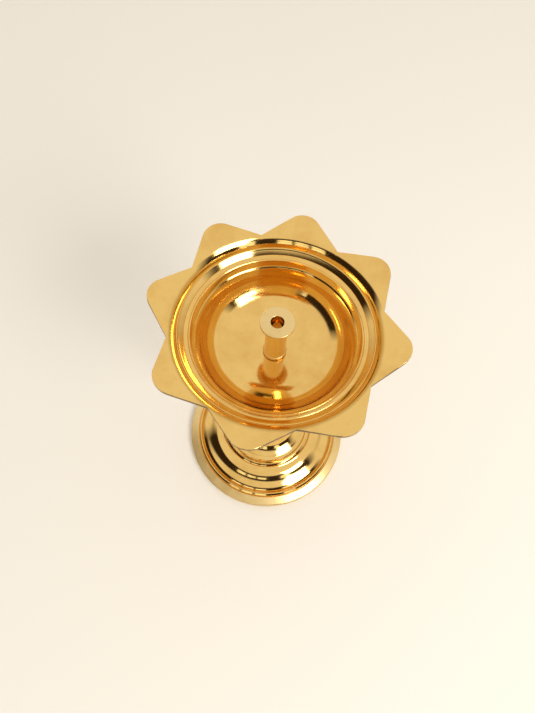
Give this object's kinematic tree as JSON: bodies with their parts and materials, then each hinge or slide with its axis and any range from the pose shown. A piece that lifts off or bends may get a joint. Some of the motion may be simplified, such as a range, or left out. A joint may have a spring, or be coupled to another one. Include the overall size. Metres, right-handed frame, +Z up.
{
  "type": "lotus oil lamp",
  "caption": "Brass lotus cup with a central wick post on a domed pedestal foot; holds oil and a wick.",
  "frame": {"origin": "centre of the foot's resting face", "axes": "+Z up along the turned axis, +X through the tip of one petal"},
  "size_m": [0.075, 0.075, 0.1011],
  "materials": {
    "cast_brass": "polished",
    "turned_brass": "satin",
    "plain_brass": "plain"
  },
  "bodies": {
    "lamp": {"pedestal_foot": "cast_brass", "lotus_bowl": "cast_brass", "tie_stud": "plain_brass", "base_washer": "plain_brass", "base_nut": "plain_brass"},
    "post": {"wick_post": "turned_brass"}
  },
  "joints": [
    {"name": "post_lift", "type": "slide", "parent": "lamp", "child": "post", "axis": [0, 0, 1], "range_m": [0, 0.012]}
  ]
}
